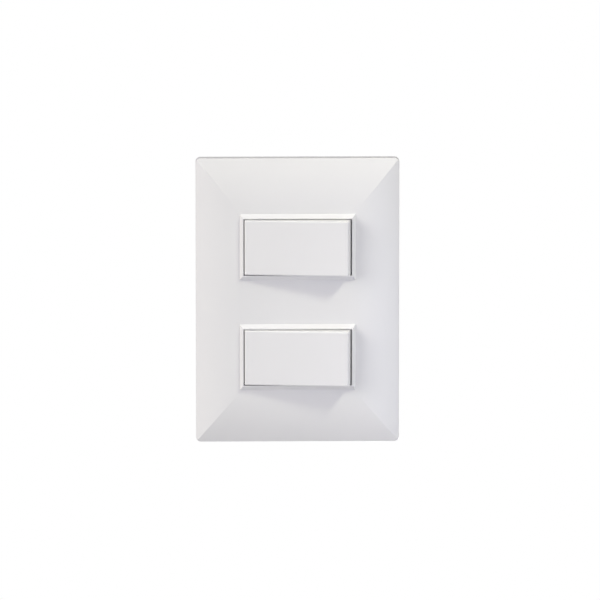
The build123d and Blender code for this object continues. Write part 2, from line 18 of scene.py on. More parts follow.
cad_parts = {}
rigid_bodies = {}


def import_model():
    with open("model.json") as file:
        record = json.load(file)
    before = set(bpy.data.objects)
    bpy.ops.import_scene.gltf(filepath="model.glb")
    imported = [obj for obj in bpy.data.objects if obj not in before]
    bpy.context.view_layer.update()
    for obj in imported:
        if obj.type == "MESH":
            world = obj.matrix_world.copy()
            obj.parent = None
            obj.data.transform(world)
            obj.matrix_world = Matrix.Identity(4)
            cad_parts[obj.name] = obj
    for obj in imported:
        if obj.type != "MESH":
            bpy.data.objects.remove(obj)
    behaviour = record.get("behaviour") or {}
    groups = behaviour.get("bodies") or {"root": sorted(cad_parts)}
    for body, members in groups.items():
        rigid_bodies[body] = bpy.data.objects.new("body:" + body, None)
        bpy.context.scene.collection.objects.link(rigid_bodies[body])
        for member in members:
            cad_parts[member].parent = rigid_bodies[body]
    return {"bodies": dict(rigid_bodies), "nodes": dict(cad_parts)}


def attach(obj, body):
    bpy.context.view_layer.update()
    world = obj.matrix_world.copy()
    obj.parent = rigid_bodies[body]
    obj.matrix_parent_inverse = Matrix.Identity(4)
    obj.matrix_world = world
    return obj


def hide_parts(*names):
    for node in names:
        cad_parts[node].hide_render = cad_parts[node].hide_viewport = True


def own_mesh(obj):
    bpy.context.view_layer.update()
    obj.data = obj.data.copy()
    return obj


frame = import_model()

MM = 0.001
MERGE_DISTANCE = 0.002 * MM
RIM_TOLERANCE = 0.01 * MM
SHARP_ANGLE = math.radians(32)
LOG = logging.getLogger("wall_switch")
Colour = tuple[float, float, float]
Direction = tuple[float, float, float]
Socket = bpy.types.NodeSocket


class Effect(Enum):
    """Surface effects that several finishes share, each one node group."""

    SPARK_GRAIN = "spark_grain"
    MOULD_TINT = "mould_tint"
    PIN_MARKS = "pin_marks"
    DRAWN_LINES = "drawn_lines"
    TARNISH = "tarnish"


class Draw(Enum):
    """The way that a metal piece was drawn or turned, as a stretch of its fine lines."""

    ALONG_X = (0.03, 1.0, 1.0)
    ROUND = (1.0, 1.0, 1.0)


class Module(Enum):
    """The two switch modules, with the height of their middle."""

    UPPER = 22.5 * MM
    LOWER = -22.5 * MM

    @property
    def word(self) -> str:
        """The word that its node and body names begin with."""
        return self.name.lower()


@dataclass
class Wiring:
    """Adds nodes to one node tree and joins them.

    Args:
        tree: The tree of a material, a world or a node group.
    """

    tree: bpy.types.NodeTree

    def node(self, kind: str, inputs: dict | None = None, **settings: object) -> bpy.types.Node:
        """Adds a node.

        Args:
            kind: The node's type name.
            inputs: Values or sockets for its inputs, by name or number.
            settings: Attributes of the node itself.

        Returns:
            The new node.
        """
        made = self.tree.nodes.new(kind)
        for name, value in settings.items():
            setattr(made, name, value)
        for key, value in (inputs or {}).items():
            if isinstance(value, Socket):
                self.tree.links.new(value, made.inputs[key])
            else:
                made.inputs[key].default_value = value
        return made

    def maths(self, operation: str, *values: float | Socket) -> Socket:
        """Adds a sum of one or more values or sockets.

        Args:
            operation: The name of the sum.
            values: What goes in, in order.

        Returns:
            The result's socket.
        """
        return self.node("ShaderNodeMath", dict(enumerate(values)), operation=operation).outputs[0]

    def noise(
        self, place: Socket, scale: float | Socket, detail: float, roughness: float = 0.5
    ) -> Socket:
        """Adds cloudy noise.

        Args:
            place: The position that it is read at.
            scale: How many clouds lie in a metre.
            detail: How many finer layers it has.
            roughness: How strong the finer layers are.

        Returns:
            The noise's socket.
        """
        inputs = {"Vector": place, "Scale": scale, "Detail": detail, "Roughness": roughness}
        return self.node("ShaderNodeTexNoise", inputs).outputs[0]

    def smooth_step(self, value: Socket, low: float | Socket, high: float | Socket) -> Socket:
        """Adds a smooth rise from 0 to 1.

        Args:
            value: What goes in.
            low: Where the rise starts.
            high: Where the rise ends.

        Returns:
            The result's socket.
        """
        inputs = {"Value": value, "From Min": low, "From Max": high}
        return self.node("ShaderNodeMapRange", inputs, interpolation_type="SMOOTHSTEP").outputs[0]

    def feed(self, node: bpy.types.Node, sockets: dict[str, Socket]) -> None:
        """Joins sockets to a node that is already there.

        Args:
            node: The node.
            sockets: What goes in, by the name of the input.
        """
        for name, socket in sockets.items():
            self.tree.links.new(socket, node.inputs[name])


class EffectShelf:
    """Builds each shared effect once, and hands it to the finishes that ask for it."""

    # How much the pits add to the height of the grain.
    PIT_SHARE = 0.5
    # How fine the glossier patches are beside the grain.
    GLOSS_SHARE = 0.02
    # How many clouds of shade lie in a metre of a moulding.
    FLOW_SCALE = 45.0
    # The middle of a noise's range.
    NOISE_MIDDLE = 0.5
    # Where the edge of a pin mark starts, as a share of its radius.
    PIN_EDGE = 0.94
    # How strong the finer layers of drawn lines are.
    LINE_ROUGHNESS = 0.7
    # How fine the dull bands are beside the drawn lines.
    DULL_SHARE = 0.08
    # The levels of the clouds between which a metal goes from bright to dull.
    TARNISH_LEVELS = (0.42, 0.68)

    def __init__(self) -> None:
        """Starts with nothing built."""
        self._built: dict[Effect, bpy.types.NodeTree] = {}

    def place(self, wiring: Wiring, effect: Effect, inputs: dict) -> bpy.types.Node:
        """Puts an effect into a material.

        Args:
            wiring: The material's wiring.
            effect: Which effect.
            inputs: Values or sockets for the group's inputs.

        Returns:
            The group node.
        """
        if effect not in self._built:
            self._built[effect] = getattr(self, f"_{effect.value}")()
        return wiring.node("ShaderNodeGroup", inputs, node_tree=self._built[effect])

    @staticmethod
    def _group(
        effect: Effect, inputs: dict[str, str], outputs: dict[str, str]
    ) -> tuple[Wiring, dict[str, Socket], bpy.types.Node]:
        """Starts a node group with named sockets.

        Args:
            effect: The effect that it holds.
            inputs: Socket names and their kinds.
            outputs: Socket names and their kinds.

        Returns:
            Its wiring, its input sockets by name, and the node that takes its results.
        """
        tree = bpy.data.node_groups.new(effect.value, "ShaderNodeTree")
        for side, sockets in (("INPUT", inputs), ("OUTPUT", outputs)):
            for name, kind in sockets.items():
                tree.interface.new_socket(name=name, in_out=side, socket_type=f"NodeSocket{kind}")
        wiring = Wiring(tree)
        given = dict(wiring.node("NodeGroupInput").outputs.items())
        return wiring, given, wiring.node("NodeGroupOutput")

    def _spark_grain(self) -> bpy.types.NodeTree:
        """Makes the fine, even pitting that an eroded mould leaves, and where it is glossier.

        Returns:
            The group.
        """
        wiring, given, end = self._group(
            Effect.SPARK_GRAIN,
            {"Position": "Vector", "Grains": "Float"},
            {"Height": "Float", "Gloss": "Float"},
        )
        place, grains = given["Position"], given["Grains"]
        fine = wiring.noise(place, grains, detail=3.0)
        pits = wiring.node("ShaderNodeTexVoronoi", {"Vector": place, "Scale": grains})
        height = wiring.maths("MULTIPLY_ADD", pits.outputs["Distance"], self.PIT_SHARE, fine)
        coarse = wiring.maths("MULTIPLY", grains, self.GLOSS_SHARE)
        gloss = wiring.noise(place, coarse, detail=2.0)
        wiring.feed(end, {"Height": height, "Gloss": gloss})
        return wiring.tree

    def _mould_tint(self) -> bpy.types.NodeTree:
        """Makes the faint change of shade that pigment and flow leave in a moulding.

        Returns:
            The group.
        """
        wiring, given, end = self._group(
            Effect.MOULD_TINT,
            {"Position": "Vector", "Colour": "Color", "Amount": "Float"},
            {"Colour": "Color"},
        )
        flow = wiring.noise(given["Position"], self.FLOW_SCALE, detail=3.0)
        swing = wiring.maths("SUBTRACT", flow, self.NOISE_MIDDLE)
        value = wiring.maths("MULTIPLY_ADD", swing, given["Amount"], 1.0)
        shade = wiring.node("ShaderNodeHueSaturation", {"Value": value, "Color": given["Colour"]})
        wiring.feed(end, {"Colour": shade.outputs[0]})
        return wiring.tree

    def _pin_marks(self) -> bpy.types.NodeTree:
        """Makes round marks, evenly spread, where pins pushed a moulding out of its mould.

        Returns:
            The group.
        """
        wiring, given, end = self._group(
            Effect.PIN_MARKS,
            {"Position": "Vector", "Spacing": "Float", "Radius": "Float"},
            {"Height": "Float"},
        )
        half = wiring.maths("MULTIPLY", given["Spacing"], 0.5)
        minus = wiring.maths("MULTIPLY", given["Spacing"], -0.5)
        parts = wiring.node("ShaderNodeSeparateXYZ", {"Vector": given["Position"]})
        across = wiring.maths("WRAP", parts.outputs["X"], half, minus)
        along = wiring.maths("WRAP", parts.outputs["Z"], half, minus)
        spot = wiring.node("ShaderNodeCombineXYZ", {"X": across, "Y": along})
        reach = wiring.node("ShaderNodeVectorMath", {0: spot.outputs[0]}, operation="LENGTH")
        inner = wiring.maths("MULTIPLY", given["Radius"], self.PIN_EDGE)
        height = wiring.smooth_step(reach.outputs["Value"], inner, given["Radius"])
        wiring.feed(end, {"Height": height})
        return wiring.tree

    def _drawn_lines(self) -> bpy.types.NodeTree:
        """Makes fine lines along the way a metal was drawn or turned, and where they are duller.

        Returns:
            The group.
        """
        wiring, given, end = self._group(
            Effect.DRAWN_LINES,
            {"Position": "Vector", "Stretch": "Vector", "Lines": "Float"},
            {"Height": "Float", "Dull": "Float"},
        )
        place, lines = given["Position"], given["Lines"]
        pulled = wiring.node(
            "ShaderNodeVectorMath", {0: place, 1: given["Stretch"]}, operation="MULTIPLY"
        )
        height = wiring.noise(pulled.outputs[0], lines, detail=4.0, roughness=self.LINE_ROUGHNESS)
        coarse = wiring.maths("MULTIPLY", lines, self.DULL_SHARE)
        dull = wiring.noise(place, coarse, detail=2.0)
        wiring.feed(end, {"Height": height, "Dull": dull})
        return wiring.tree

    def _tarnish(self) -> bpy.types.NodeTree:
        """Makes cloudy patches where bare metal has dulled from handling.

        Returns:
            The group.
        """
        wiring, given, end = self._group(
            Effect.TARNISH,
            {"Position": "Vector", "Bright": "Color", "Dull": "Color", "Patches": "Float"},
            {"Colour": "Color", "Mask": "Float"},
        )
        cloud = wiring.noise(given["Position"], given["Patches"], detail=5.0)
        mask = wiring.smooth_step(cloud, *self.TARNISH_LEVELS)
        blend = wiring.node(
            "ShaderNodeMix",
            {"Factor": mask, "A": given["Bright"], "B": given["Dull"]},
            data_type="RGBA",
        )
        wiring.feed(end, {"Colour": blend.outputs["Result"], "Mask": mask})
        return wiring.tree


EFFECTS = EffectShelf()


def new_material(name: str) -> tuple[bpy.types.Material, Wiring, bpy.types.Node]:
    """Starts a material with only its output.

    Args:
        name: The material's name.

    Returns:
        The material, its wiring and its output node.
    """
    material = bpy.data.materials.new(name)
    material.use_nodes = True
    material.node_tree.nodes.clear()
    wiring = Wiring(material.node_tree)
    return material, wiring, wiring.node("ShaderNodeOutputMaterial")


@dataclass(frozen=True)
class MouldedPlastic:
    """Injection moulded plastic, with a fine eroded texture.

    Args:
        name: The finish's name.
        colour: Its base colour.
        roughness: How dull it is, at its glossiest spot.
        spread: How much duller it is in patches.
        tint: How much its shade changes with the flow of the moulding.
        grain: The size of one grain of its texture.
        depth: How deep the texture is.
        relief: How strongly the texture shows.
        pin_spacing: The distance between ejector pin marks, or 0 for none.
        pin_radius: The radius of a pin mark.
        pin_depth: How deep a pin mark is.
        ior: How strongly it bends light.
    """

    name: str
    colour: Colour
    roughness: float = 0.34
    spread: float = 0.10
    tint: float = 0.03
    grain: float = 0.16 * MM
    depth: float = 0.004 * MM
    relief: float = 0.6
    pin_spacing: float = 0.0
    pin_radius: float = 1.5 * MM
    pin_depth: float = 0.06 * MM
    ior: float = 1.5

    def material(self) -> bpy.types.Material:
        """Builds the material.

        Returns:
            The material.
        """
        material, wiring, end = new_material(self.name)
        place = wiring.node("ShaderNodeTexCoord").outputs["Object"]
        tint = EFFECTS.place(
            wiring,
            Effect.MOULD_TINT,
            {"Position": place, "Colour": (*self.colour, 1.0), "Amount": self.tint},
        )
        grain = EFFECTS.place(
            wiring, Effect.SPARK_GRAIN, {"Position": place, "Grains": 1.0 / self.grain}
        )
        rough = wiring.maths("MULTIPLY_ADD", grain.outputs["Gloss"], self.spread, self.roughness)
        bump = wiring.node(
            "ShaderNodeBump",
            {"Height": grain.outputs["Height"], "Distance": self.depth, "Strength": self.relief},
        )
        if self.pin_spacing:
            pins = EFFECTS.place(
                wiring,
                Effect.PIN_MARKS,
                {"Position": place, "Spacing": self.pin_spacing, "Radius": self.pin_radius},
            )
            bump = wiring.node(
                "ShaderNodeBump",
                {
                    "Height": pins.outputs["Height"],
                    "Distance": self.pin_depth,
                    "Normal": bump.outputs[0],
                },
            )
        shader = wiring.node(
            "ShaderNodeBsdfPrincipled",
            {
                "Base Color": tint.outputs["Colour"],
                "Roughness": rough,
                "Normal": bump.outputs[0],
                "IOR": self.ior,
            },
        )
        wiring.feed(end, {"Surface": shader.outputs[0]})
        return material


@dataclass(frozen=True)
class BareMetal:
    """Drawn, stamped or turned metal, with fine lines and dulled patches.

    Args:
        name: The finish's name.
        bright: Its colour where it is clean.
        dull: Its colour where it has tarnished.
        roughness: How dull it is where it is clean.
        spread: How much duller it is where it has tarnished.
        draw: The way that its lines run.
        line: The width of one line.
        line_spread: How much duller it is in bands of its lines.
        depth: How deep the lines are.
        relief: How strongly the lines show.
        patch: The size of a tarnished patch.
    """

    name: str
    bright: Colour
    dull: Colour
    roughness: float = 0.24
    spread: float = 0.18
    draw: Draw = Draw.ALONG_X
    line: float = 0.10 * MM
    line_spread: float = 0.08
    depth: float = 0.004 * MM
    relief: float = 0.7
    patch: float = 3.0 * MM

    def material(self) -> bpy.types.Material:
        """Builds the material.

        Returns:
            The material.
        """
        material, wiring, end = new_material(self.name)
        place = wiring.node("ShaderNodeTexCoord").outputs["Object"]
        tarnish = EFFECTS.place(
            wiring,
            Effect.TARNISH,
            {
                "Position": place,
                "Bright": (*self.bright, 1.0),
                "Dull": (*self.dull, 1.0),
                "Patches": 1.0 / self.patch,
            },
        )
        lines = EFFECTS.place(
            wiring,
            Effect.DRAWN_LINES,
            {"Position": place, "Stretch": self.draw.value, "Lines": 1.0 / self.line},
        )
        dulled = wiring.maths("MULTIPLY_ADD", tarnish.outputs["Mask"], self.spread, self.roughness)
        rough = wiring.maths("MULTIPLY_ADD", lines.outputs["Dull"], self.line_spread, dulled)
        bump = wiring.node(
            "ShaderNodeBump",
            {"Height": lines.outputs["Height"], "Distance": self.depth, "Strength": self.relief},
        )
        shader = wiring.node(
            "ShaderNodeBsdfPrincipled",
            {
                "Base Color": tarnish.outputs["Colour"],
                "Metallic": 1.0,
                "Roughness": rough,
                "Normal": bump.outputs[0],
            },
        )
        wiring.feed(end, {"Surface": shader.outputs[0]})
        return material


def dress(node: str, material: bpy.types.Material) -> None:
    """Gives a solid of the frame its finish.

    Args:
        node: The solid's name.
        material: Its finish.
    """
    solid = frame["nodes"][node]
    solid.data.materials.clear()
    solid.data.materials.append(material)
    LOG.info("%s dressed in %s", node, material.name)


def new_piece(
    name: str, shapes: list[bmesh.types.BMesh], material: bpy.types.Material
) -> bpy.types.Object:
    """Makes one object of finished shapes, at the origin.

    Args:
        name: The piece's name.
        shapes: The shapes, in the frame's place. They are used up.
        material: Its finish.

    Returns:
        The new object.
    """
    whole = bmesh.new()
    for shape in shapes:
        bmesh.ops.recalc_face_normals(shape, faces=shape.faces)
        part = bpy.data.meshes.new(f"{name}_part")
        shape.to_mesh(part)
        shape.free()
        whole.from_mesh(part)
        bpy.data.meshes.remove(part)
    mesh = bpy.data.meshes.new(name)
    whole.to_mesh(mesh)
    whole.free()
    mesh.materials.append(material)
    mesh.shade_smooth()
    mesh.set_sharp_from_angle(angle=SHARP_ANGLE)
    piece = bpy.data.objects.new(name, mesh)
    bpy.context.scene.collection.objects.link(piece)
    LOG.info("%s built with %d faces", name, len(mesh.polygons))
    return piece


@dataclass
class SlottedScrew:
    """One slotted cheese-head screw. It is made along +Z, with its head's seat at the origin.

    Args:
        head_radius: The head's radius.
        head_height: The head's height over its seat.
        head_round: The rounding of the head's upper edge.
        slot_width: The driver slot's width.
        slot_depth: The driver slot's depth.
        neck_radius: The radius of the plain neck under the head.
        neck_length: The neck's length.
        thread_radius: The thread's outer radius.
        thread_root: The radius between the thread's turns.
        thread_pitch: The distance from one turn to the next.
        thread_length: The thread's length.
        point: How long the tapered point is.
        point_taper: How much thinner the tip is, as a share.
        crest_start: Where a turn's crest starts, as a share of the pitch.
        crest_end: Where a turn's crest ends, as a share of the pitch.
        sides: How many sides the head and neck have.
        turn_steps: How many steps one turn of the thread has.
        round_steps: How many steps the head's rounding has.
    """

    head_radius: float
    head_height: float
    head_round: float
    slot_width: float
    slot_depth: float
    neck_radius: float
    neck_length: float
    thread_radius: float
    thread_root: float
    thread_pitch: float
    thread_length: float
    point: float
    point_taper: float = 0.45
    crest_start: float = 0.40
    crest_end: float = 0.56
    sides: int = 40
    turn_steps: int = 18
    round_steps: int = 4

    def build(self, place: Matrix) -> bmesh.types.BMesh:
        """Makes the screw.

        Args:
            place: Where its seat goes, and which way it points.

        Returns:
            The screw, in place.
        """
        shape = bmesh.new()
        self._cut_thread(shape)
        self._turn_neck(shape)
        self._form_head(shape)
        bmesh.ops.transform(shape, matrix=place, verts=shape.verts)
        return shape

    def _cut_thread(self, shape: bmesh.types.BMesh) -> None:
        """Spins one turn's profile down the screw, trims both ends flat and tapers the point.

        Args:
            shape: The screw, still empty.
        """
        pitch, top = self.thread_pitch, self.thread_pitch - self.neck_length
        profile = (
            (self.thread_root, top),
            (self.thread_radius, top - self.crest_start * pitch),
            (self.thread_radius, top - self.crest_end * pitch),
            (self.thread_root, top - pitch),
        )
        verts = [shape.verts.new((radius, 0, height)) for radius, height in profile]
        edges = [shape.edges.new(pair) for pair in zip(verts, verts[1:])]
        turns = math.ceil(self.thread_length / pitch) + 2
        bmesh.ops.spin(
            shape,
            geom=verts + edges,
            cent=(0, 0, 0),
            axis=(0, 0, 1),
            dvec=(0, 0, -pitch / self.turn_steps),
            angle=2 * math.pi * turns,
            steps=turns * self.turn_steps,
            use_merge=False,
            use_duplicate=False,
        )
        bmesh.ops.remove_doubles(shape, verts=shape.verts, dist=MERGE_DISTANCE)
        end = -self.neck_length - self.thread_length
        for height, outward in ((-self.neck_length, 1), (end, -1)):
            bmesh.ops.bisect_plane(
                shape,
                geom=[*shape.verts, *shape.edges, *shape.faces],
                plane_co=(0, 0, height),
                plane_no=(0, 0, outward),
                clear_outer=True,
            )
        bmesh.ops.holes_fill(shape, edges=[e for e in shape.edges if e.is_boundary], sides=0)
        bmesh.ops.dissolve_degenerate(shape, dist=MERGE_DISTANCE, edges=shape.edges)
        start = self.point - self.neck_length - self.thread_length
        for vert in shape.verts:
            if vert.co.z < start:
                inset = 1.0 - self.point_taper * (start - vert.co.z) / self.point
                vert.co.x *= inset
                vert.co.y *= inset

    def _turn_neck(self, shape: bmesh.types.BMesh) -> None:
        """Adds the plain neck between the thread and the head.

        Args:
            shape: The screw, with its thread.
        """
        bmesh.ops.create_cone(
            shape,
            cap_ends=True,
            segments=self.sides,
            radius1=self.neck_radius,
            radius2=self.neck_radius,
            depth=self.neck_length,
            matrix=Matrix.Translation((0, 0, -self.neck_length / 2)),
        )

    def _form_head(self, shape: bmesh.types.BMesh) -> None:
        """Raises the head from a disc, with its two halves left standing beside the slot.

        Args:
            shape: The screw, with its thread and neck.
        """
        before = set(shape.faces)
        bmesh.ops.create_circle(
            shape, cap_ends=True, radius=self.head_radius, segments=self.sides
        )
        for side in (-0.5, 0.5):
            disc = [f for f in shape.faces if f not in before]
            edges = {e for f in disc for e in f.edges}
            verts = {v for f in disc for v in f.verts}
            bmesh.ops.bisect_plane(
                shape,
                geom=[*disc, *edges, *verts],
                plane_co=(0, side * self.slot_width, 0),
                plane_no=(0, 1, 0),
            )
        disc = [f for f in shape.faces if f not in before]
        raised = self._raise(shape, disc, self.head_height - self.slot_depth)
        halves = [f for f in raised if abs(f.calc_center_median().y) > self.slot_width]
        self._raise(shape, halves, self.slot_depth)
        bmesh.ops.delete(shape, geom=halves, context="FACES")
        reach = self.head_radius - RIM_TOLERANCE
        level = self.head_height - RIM_TOLERANCE
        rim = [
            e
            for e in shape.edges
            if all(v.co.z > level and v.co.to_2d().length > reach for v in e.verts)
        ]
        bmesh.ops.bevel(
            shape,
            geom=rim,
            offset=self.head_round,
            offset_type="OFFSET",
            affect="EDGES",
            segments=self.round_steps,
            profile=0.5,
            material=-1,
        )

    @staticmethod
    def _raise(shape: bmesh.types.BMesh, faces: list, height: float) -> list:
        """Extrudes level faces upwards.

        Args:
            shape: The shape that they belong to.
            faces: The faces.
            height: How far up they go.

        Returns:
            The faces in their new place.
        """
        grown = bmesh.ops.extrude_face_region(shape, geom=faces)["geom"]
        verts = [g for g in grown if isinstance(g, bmesh.types.BMVert)]
        bmesh.ops.translate(shape, verts=verts, vec=(0, 0, height))
        return [g for g in grown if isinstance(g, bmesh.types.BMFace)]


@dataclass
class CoilSpring:
    """A compression spring of round wire, made up +Z from the origin.

    Args:
        coil_radius: The radius of the coil's middle line.
        wire_radius: The wire's radius.
        height: The height from the first wire's middle to the last one's.
        turns: How many turns it has.
        turn_steps: How many steps one turn has.
        wire_sides: How many sides the wire has.
    """

    coil_radius: float
    wire_radius: float
    height: float
    turns: float
    turn_steps: int = 32
    wire_sides: int = 12

    def build(self, place: Matrix) -> bmesh.types.BMesh:
        """Winds the spring.

        Args:
            place: Where its foot goes, and which way it points.

        Returns:
            The spring, in place.
        """
        shape = bmesh.new()
        upright = Matrix.Rotation(math.pi / 2, 4, "X")
        bmesh.ops.create_circle(
            shape,
            cap_ends=True,
            radius=self.wire_radius,
            segments=self.wire_sides,
            matrix=Matrix.Translation((self.coil_radius, 0, 0)) @ upright,
        )
        steps = round(self.turns * self.turn_steps)
        bmesh.ops.spin(
            shape,
            geom=[*shape.verts, *shape.edges, *shape.faces],
            cent=(0, 0, 0),
            axis=(0, 0, 1),
            dvec=(0, 0, self.height / steps),
            angle=2 * math.pi * self.turns,
            steps=steps,
            use_merge=False,
            use_duplicate=False,
        )
        bmesh.ops.transform(shape, matrix=place, verts=shape.verts)
        return shape


def pointing(direction: Vector, seat: Vector, turn: float = 0.0) -> Matrix:
    """Works out the place of a piece that was made along +Z.

    Args:
        direction: Where its +Z goes.
        seat: Where its origin goes.
        turn: A turn about its own axis first, in degrees.

    Returns:
        The placing matrix.
    """
    swing = direction.to_track_quat("Z", "Y").to_matrix().to_4x4()
    return Matrix.Translation(seat) @ swing @ Matrix.Rotation(math.radians(turn), 4, "Z")


@dataclass
class PlateAndFrame:
    """The cover plate, the mounting frame behind it and the two screws in the wall box.

    Args:
        plate: The plate's finish.
        chassis: The frame's finish.
        plating: The screws' finish.
        screw_spacing: The distance between the box screws.
        screw_seat: How far out of the wall the screw heads sit.
        screw_turns: How far the upper and the lower screw are turned, in degrees.
    """

    plate: MouldedPlastic
    chassis: MouldedPlastic
    plating: BareMetal
    screw_spacing: float = 83.5 * MM
    screw_seat: float = 2.0 * MM
    screw_turns: tuple[float, float] = (0.0, 24.0)

    def dress_solids(self) -> None:
        """Gives the plate and the frame their finishes."""
        dress("cover_plate", self.plate.material())
        dress("mounting_frame", self.chassis.material())

    def build_screws(self) -> None:
        """Makes the threaded box screws, each turned in as far as its driver left it."""
        screw = SlottedScrew(
            head_radius=3.5 * MM,
            head_height=2.2 * MM,
            head_round=0.4 * MM,
            slot_width=1.0 * MM,
            slot_depth=1.1 * MM,
            neck_radius=1.5 * MM,
            neck_length=self.screw_seat,
            thread_radius=1.75 * MM,
            thread_root=1.36 * MM,
            thread_pitch=0.7 * MM,
            thread_length=22.0 * MM,
            point=1.2 * MM,
        )
        shapes = []
        for side, turn in zip((1, -1), self.screw_turns):
            seat = Vector((0, -self.screw_seat, side * self.screw_spacing / 2))
            shapes.append(screw.build(pointing(Vector((0, -1, 0)), seat, turn)))
        piece = new_piece("threaded_box_screws", shapes, self.plating.material())
        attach(piece, "root")
        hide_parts("box_screws")


@dataclass
class ModuleFinishes:
    """The finishes of one switch module, shared by both of them.

    Args:
        key: The key's finish.
        body: The cup's finish.
        cover: The deck's finish.
        plunger: The plunger's finish.
        brass: The terminals' finish.
        bridge: The seesaw's finish.
        contact: The contact buttons' finish.
        screw: The clamp screws' finish.
        spring: The spring's finish.
    """

    key: bpy.types.Material
    body: bpy.types.Material
    cover: bpy.types.Material
    plunger: bpy.types.Material
    brass: bpy.types.Material
    bridge: bpy.types.Material
    contact: bpy.types.Material
    screw: bpy.types.Material
    spring: bpy.types.Material


@dataclass
class SwitchModule:
    """One switch module: its key, cup, deck, terminals and the seesaw inside.

    Args:
        module: Which of the two.
        finishes: What its pieces are made of.
        key_tilt: How far the key lies over, in degrees.
        pivot_rise: How far out of the wall the key's pivot lies.
        spring_foot: How far behind the pivot the spring's foot lies.
        plunger_travel: How far the plunger can push the spring's foot. It is not used.
        clamp_depth: How far into the wall the clamp screws lie.
        clamp_seat: How far from the middle the clamp screws' heads start.
        clamp_turns: How far the right and the left clamp screw are turned, in degrees.
    """

    module: Module
    finishes: ModuleFinishes
    key_tilt: float = 6.5
    pivot_rise: float = 7.6 * MM
    spring_foot: float = 2.07 * MM
    plunger_travel: float = 0.5 * MM
    clamp_depth: float = 13.5 * MM
    clamp_seat: float = 19.6 * MM
    clamp_turns: tuple[float, float] = (12.0, 71.0)

    def dress_solids(self) -> None:
        """Gives the module's solids their finishes."""
        worn = self.finishes
        for name, material in (
            ("rocker", worn.key),
            ("switch_body", worn.body),
            ("switch_cover", worn.cover),
            ("plunger", worn.plunger),
            ("common_terminal", worn.brass),
            ("load_terminal", worn.brass),
            ("contact_bridge", worn.bridge),
            ("moving_contact", worn.contact),
            ("fixed_contact", worn.contact),
        ):
            dress(f"{self.module.word}_{name}", material)

    def build_clamp_screws(self) -> None:
        """Makes the two threaded clamp screws, backed off from the wire bores."""
        screw = SlottedScrew(
            head_radius=2.5 * MM,
            head_height=1.5 * MM,
            head_round=0.25 * MM,
            slot_width=1.0 * MM,
            slot_depth=1.1 * MM,
            neck_radius=1.2 * MM,
            neck_length=0.3 * MM,
            thread_radius=1.5 * MM,
            thread_root=1.18 * MM,
            thread_pitch=0.5 * MM,
            thread_length=2.0 * MM,
            point=0.4 * MM,
        )
        word = self.module.word
        shapes = []
        for side, turn in zip((1, -1), self.clamp_turns):
            seat = Vector((side * self.clamp_seat, self.clamp_depth, self.module.value))
            shapes.append(screw.build(pointing(Vector((side, 0, 0)), seat, turn)))
        piece = new_piece(f"{word}_threaded_clamp_screws", shapes, self.finishes.screw)
        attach(piece, "root")
        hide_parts(f"{word}_terminal_screws")

    def wind_spring(self) -> None:
        """Winds the plunger's spring and fixes it to the key, so that it tips with the key."""
        word = self.module.word
        lean = math.radians(self.key_tilt)
        outward = Vector((-math.sin(lean), -math.cos(lean), 0))
        foot = Vector((0, -self.pivot_rise, self.module.value)) - outward * self.spring_foot
        spring = CoilSpring(
            coil_radius=1.575 * MM, wire_radius=0.225 * MM, height=4.25 * MM, turns=3.5
        )
        shape = spring.build(pointing(outward, foot))
        piece = new_piece(f"{word}_wound_spring", [shape], self.finishes.spring)
        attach(piece, f"{word}_rocker")
        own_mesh(piece)
        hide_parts(f"{word}_plunger_spring")


@dataclass
class SoftLight:
    """A square soft light.

    Args:
        name: Its name.
        towards: The way to it from the switch.
        power: Its power in watts.
        colour: Its colour.
        size: The length of its side.
        distance: How far away it hangs.
    """

    name: str
    towards: Direction
    power: float
    colour: Colour
    size: float
    distance: float

    def hang(self) -> None:
        """Adds the light, turned to the switch."""
        light = bpy.data.lights.new(self.name, "AREA")
        light.energy = self.power
        light.color = self.colour
        light.size = self.size
        lamp = bpy.data.objects.new(self.name, light)
        lamp.visible_camera = False
        way = Vector(self.towards).normalized()
        lamp.location = way * self.distance
        lamp.rotation_euler = way.to_track_quat("Z", "Y").to_euler()
        bpy.context.scene.collection.objects.link(lamp)


def soft_lights() -> list[SoftLight]:
    """Chooses the lights: one from the upper right, with soft ones round it.

    Returns:
        The lights.
    """
    return [
        SoftLight(
            name="key_light",
            towards=(5.3, -4.4, 7.3),
            power=2.96,
            colour=(0.99, 1.0, 0.812),
            size=0.13,
            distance=0.8,
        ),
        SoftLight(
            name="left_light",
            towards=(-8.0, -5.5, 2.2),
            power=74.9,
            colour=(0.978, 1.0, 0.909),
            size=2.24,
            distance=4.0,
        ),
        SoftLight(
            name="front_light",
            towards=(5.0, -8.0, -1.0),
            power=0.180,
            colour=(0.812, 0.78, 1.0),
            size=0.20,
            distance=0.30,
        ),
        SoftLight(
            name="near_light",
            towards=(7.0, -6.0, -2.0),
            power=0.0251,
            colour=(0.76, 0.819, 1.0),
            size=0.10,
            distance=0.16,
        ),
        SoftLight(
            name="top_light",
            towards=(0.0, -2.4, 9.7),
            power=3.33,
            colour=(0.82, 0.82, 1.0),
            size=0.70,
            distance=1.5,
        ),
        SoftLight(
            name="side_light",
            towards=(-8.5, -3.0, 4.3),
            power=8.06,
            colour=(1.0, 0.893, 0.896),
            size=0.70,
            distance=1.5,
        ),
        SoftLight(
            name="back_light",
            towards=(2.0, 10.0, -5.0),
            power=24.0,
            colour=(1.0, 1.0, 0.96),
            size=0.50,
            distance=1.5,
        ),
    ]


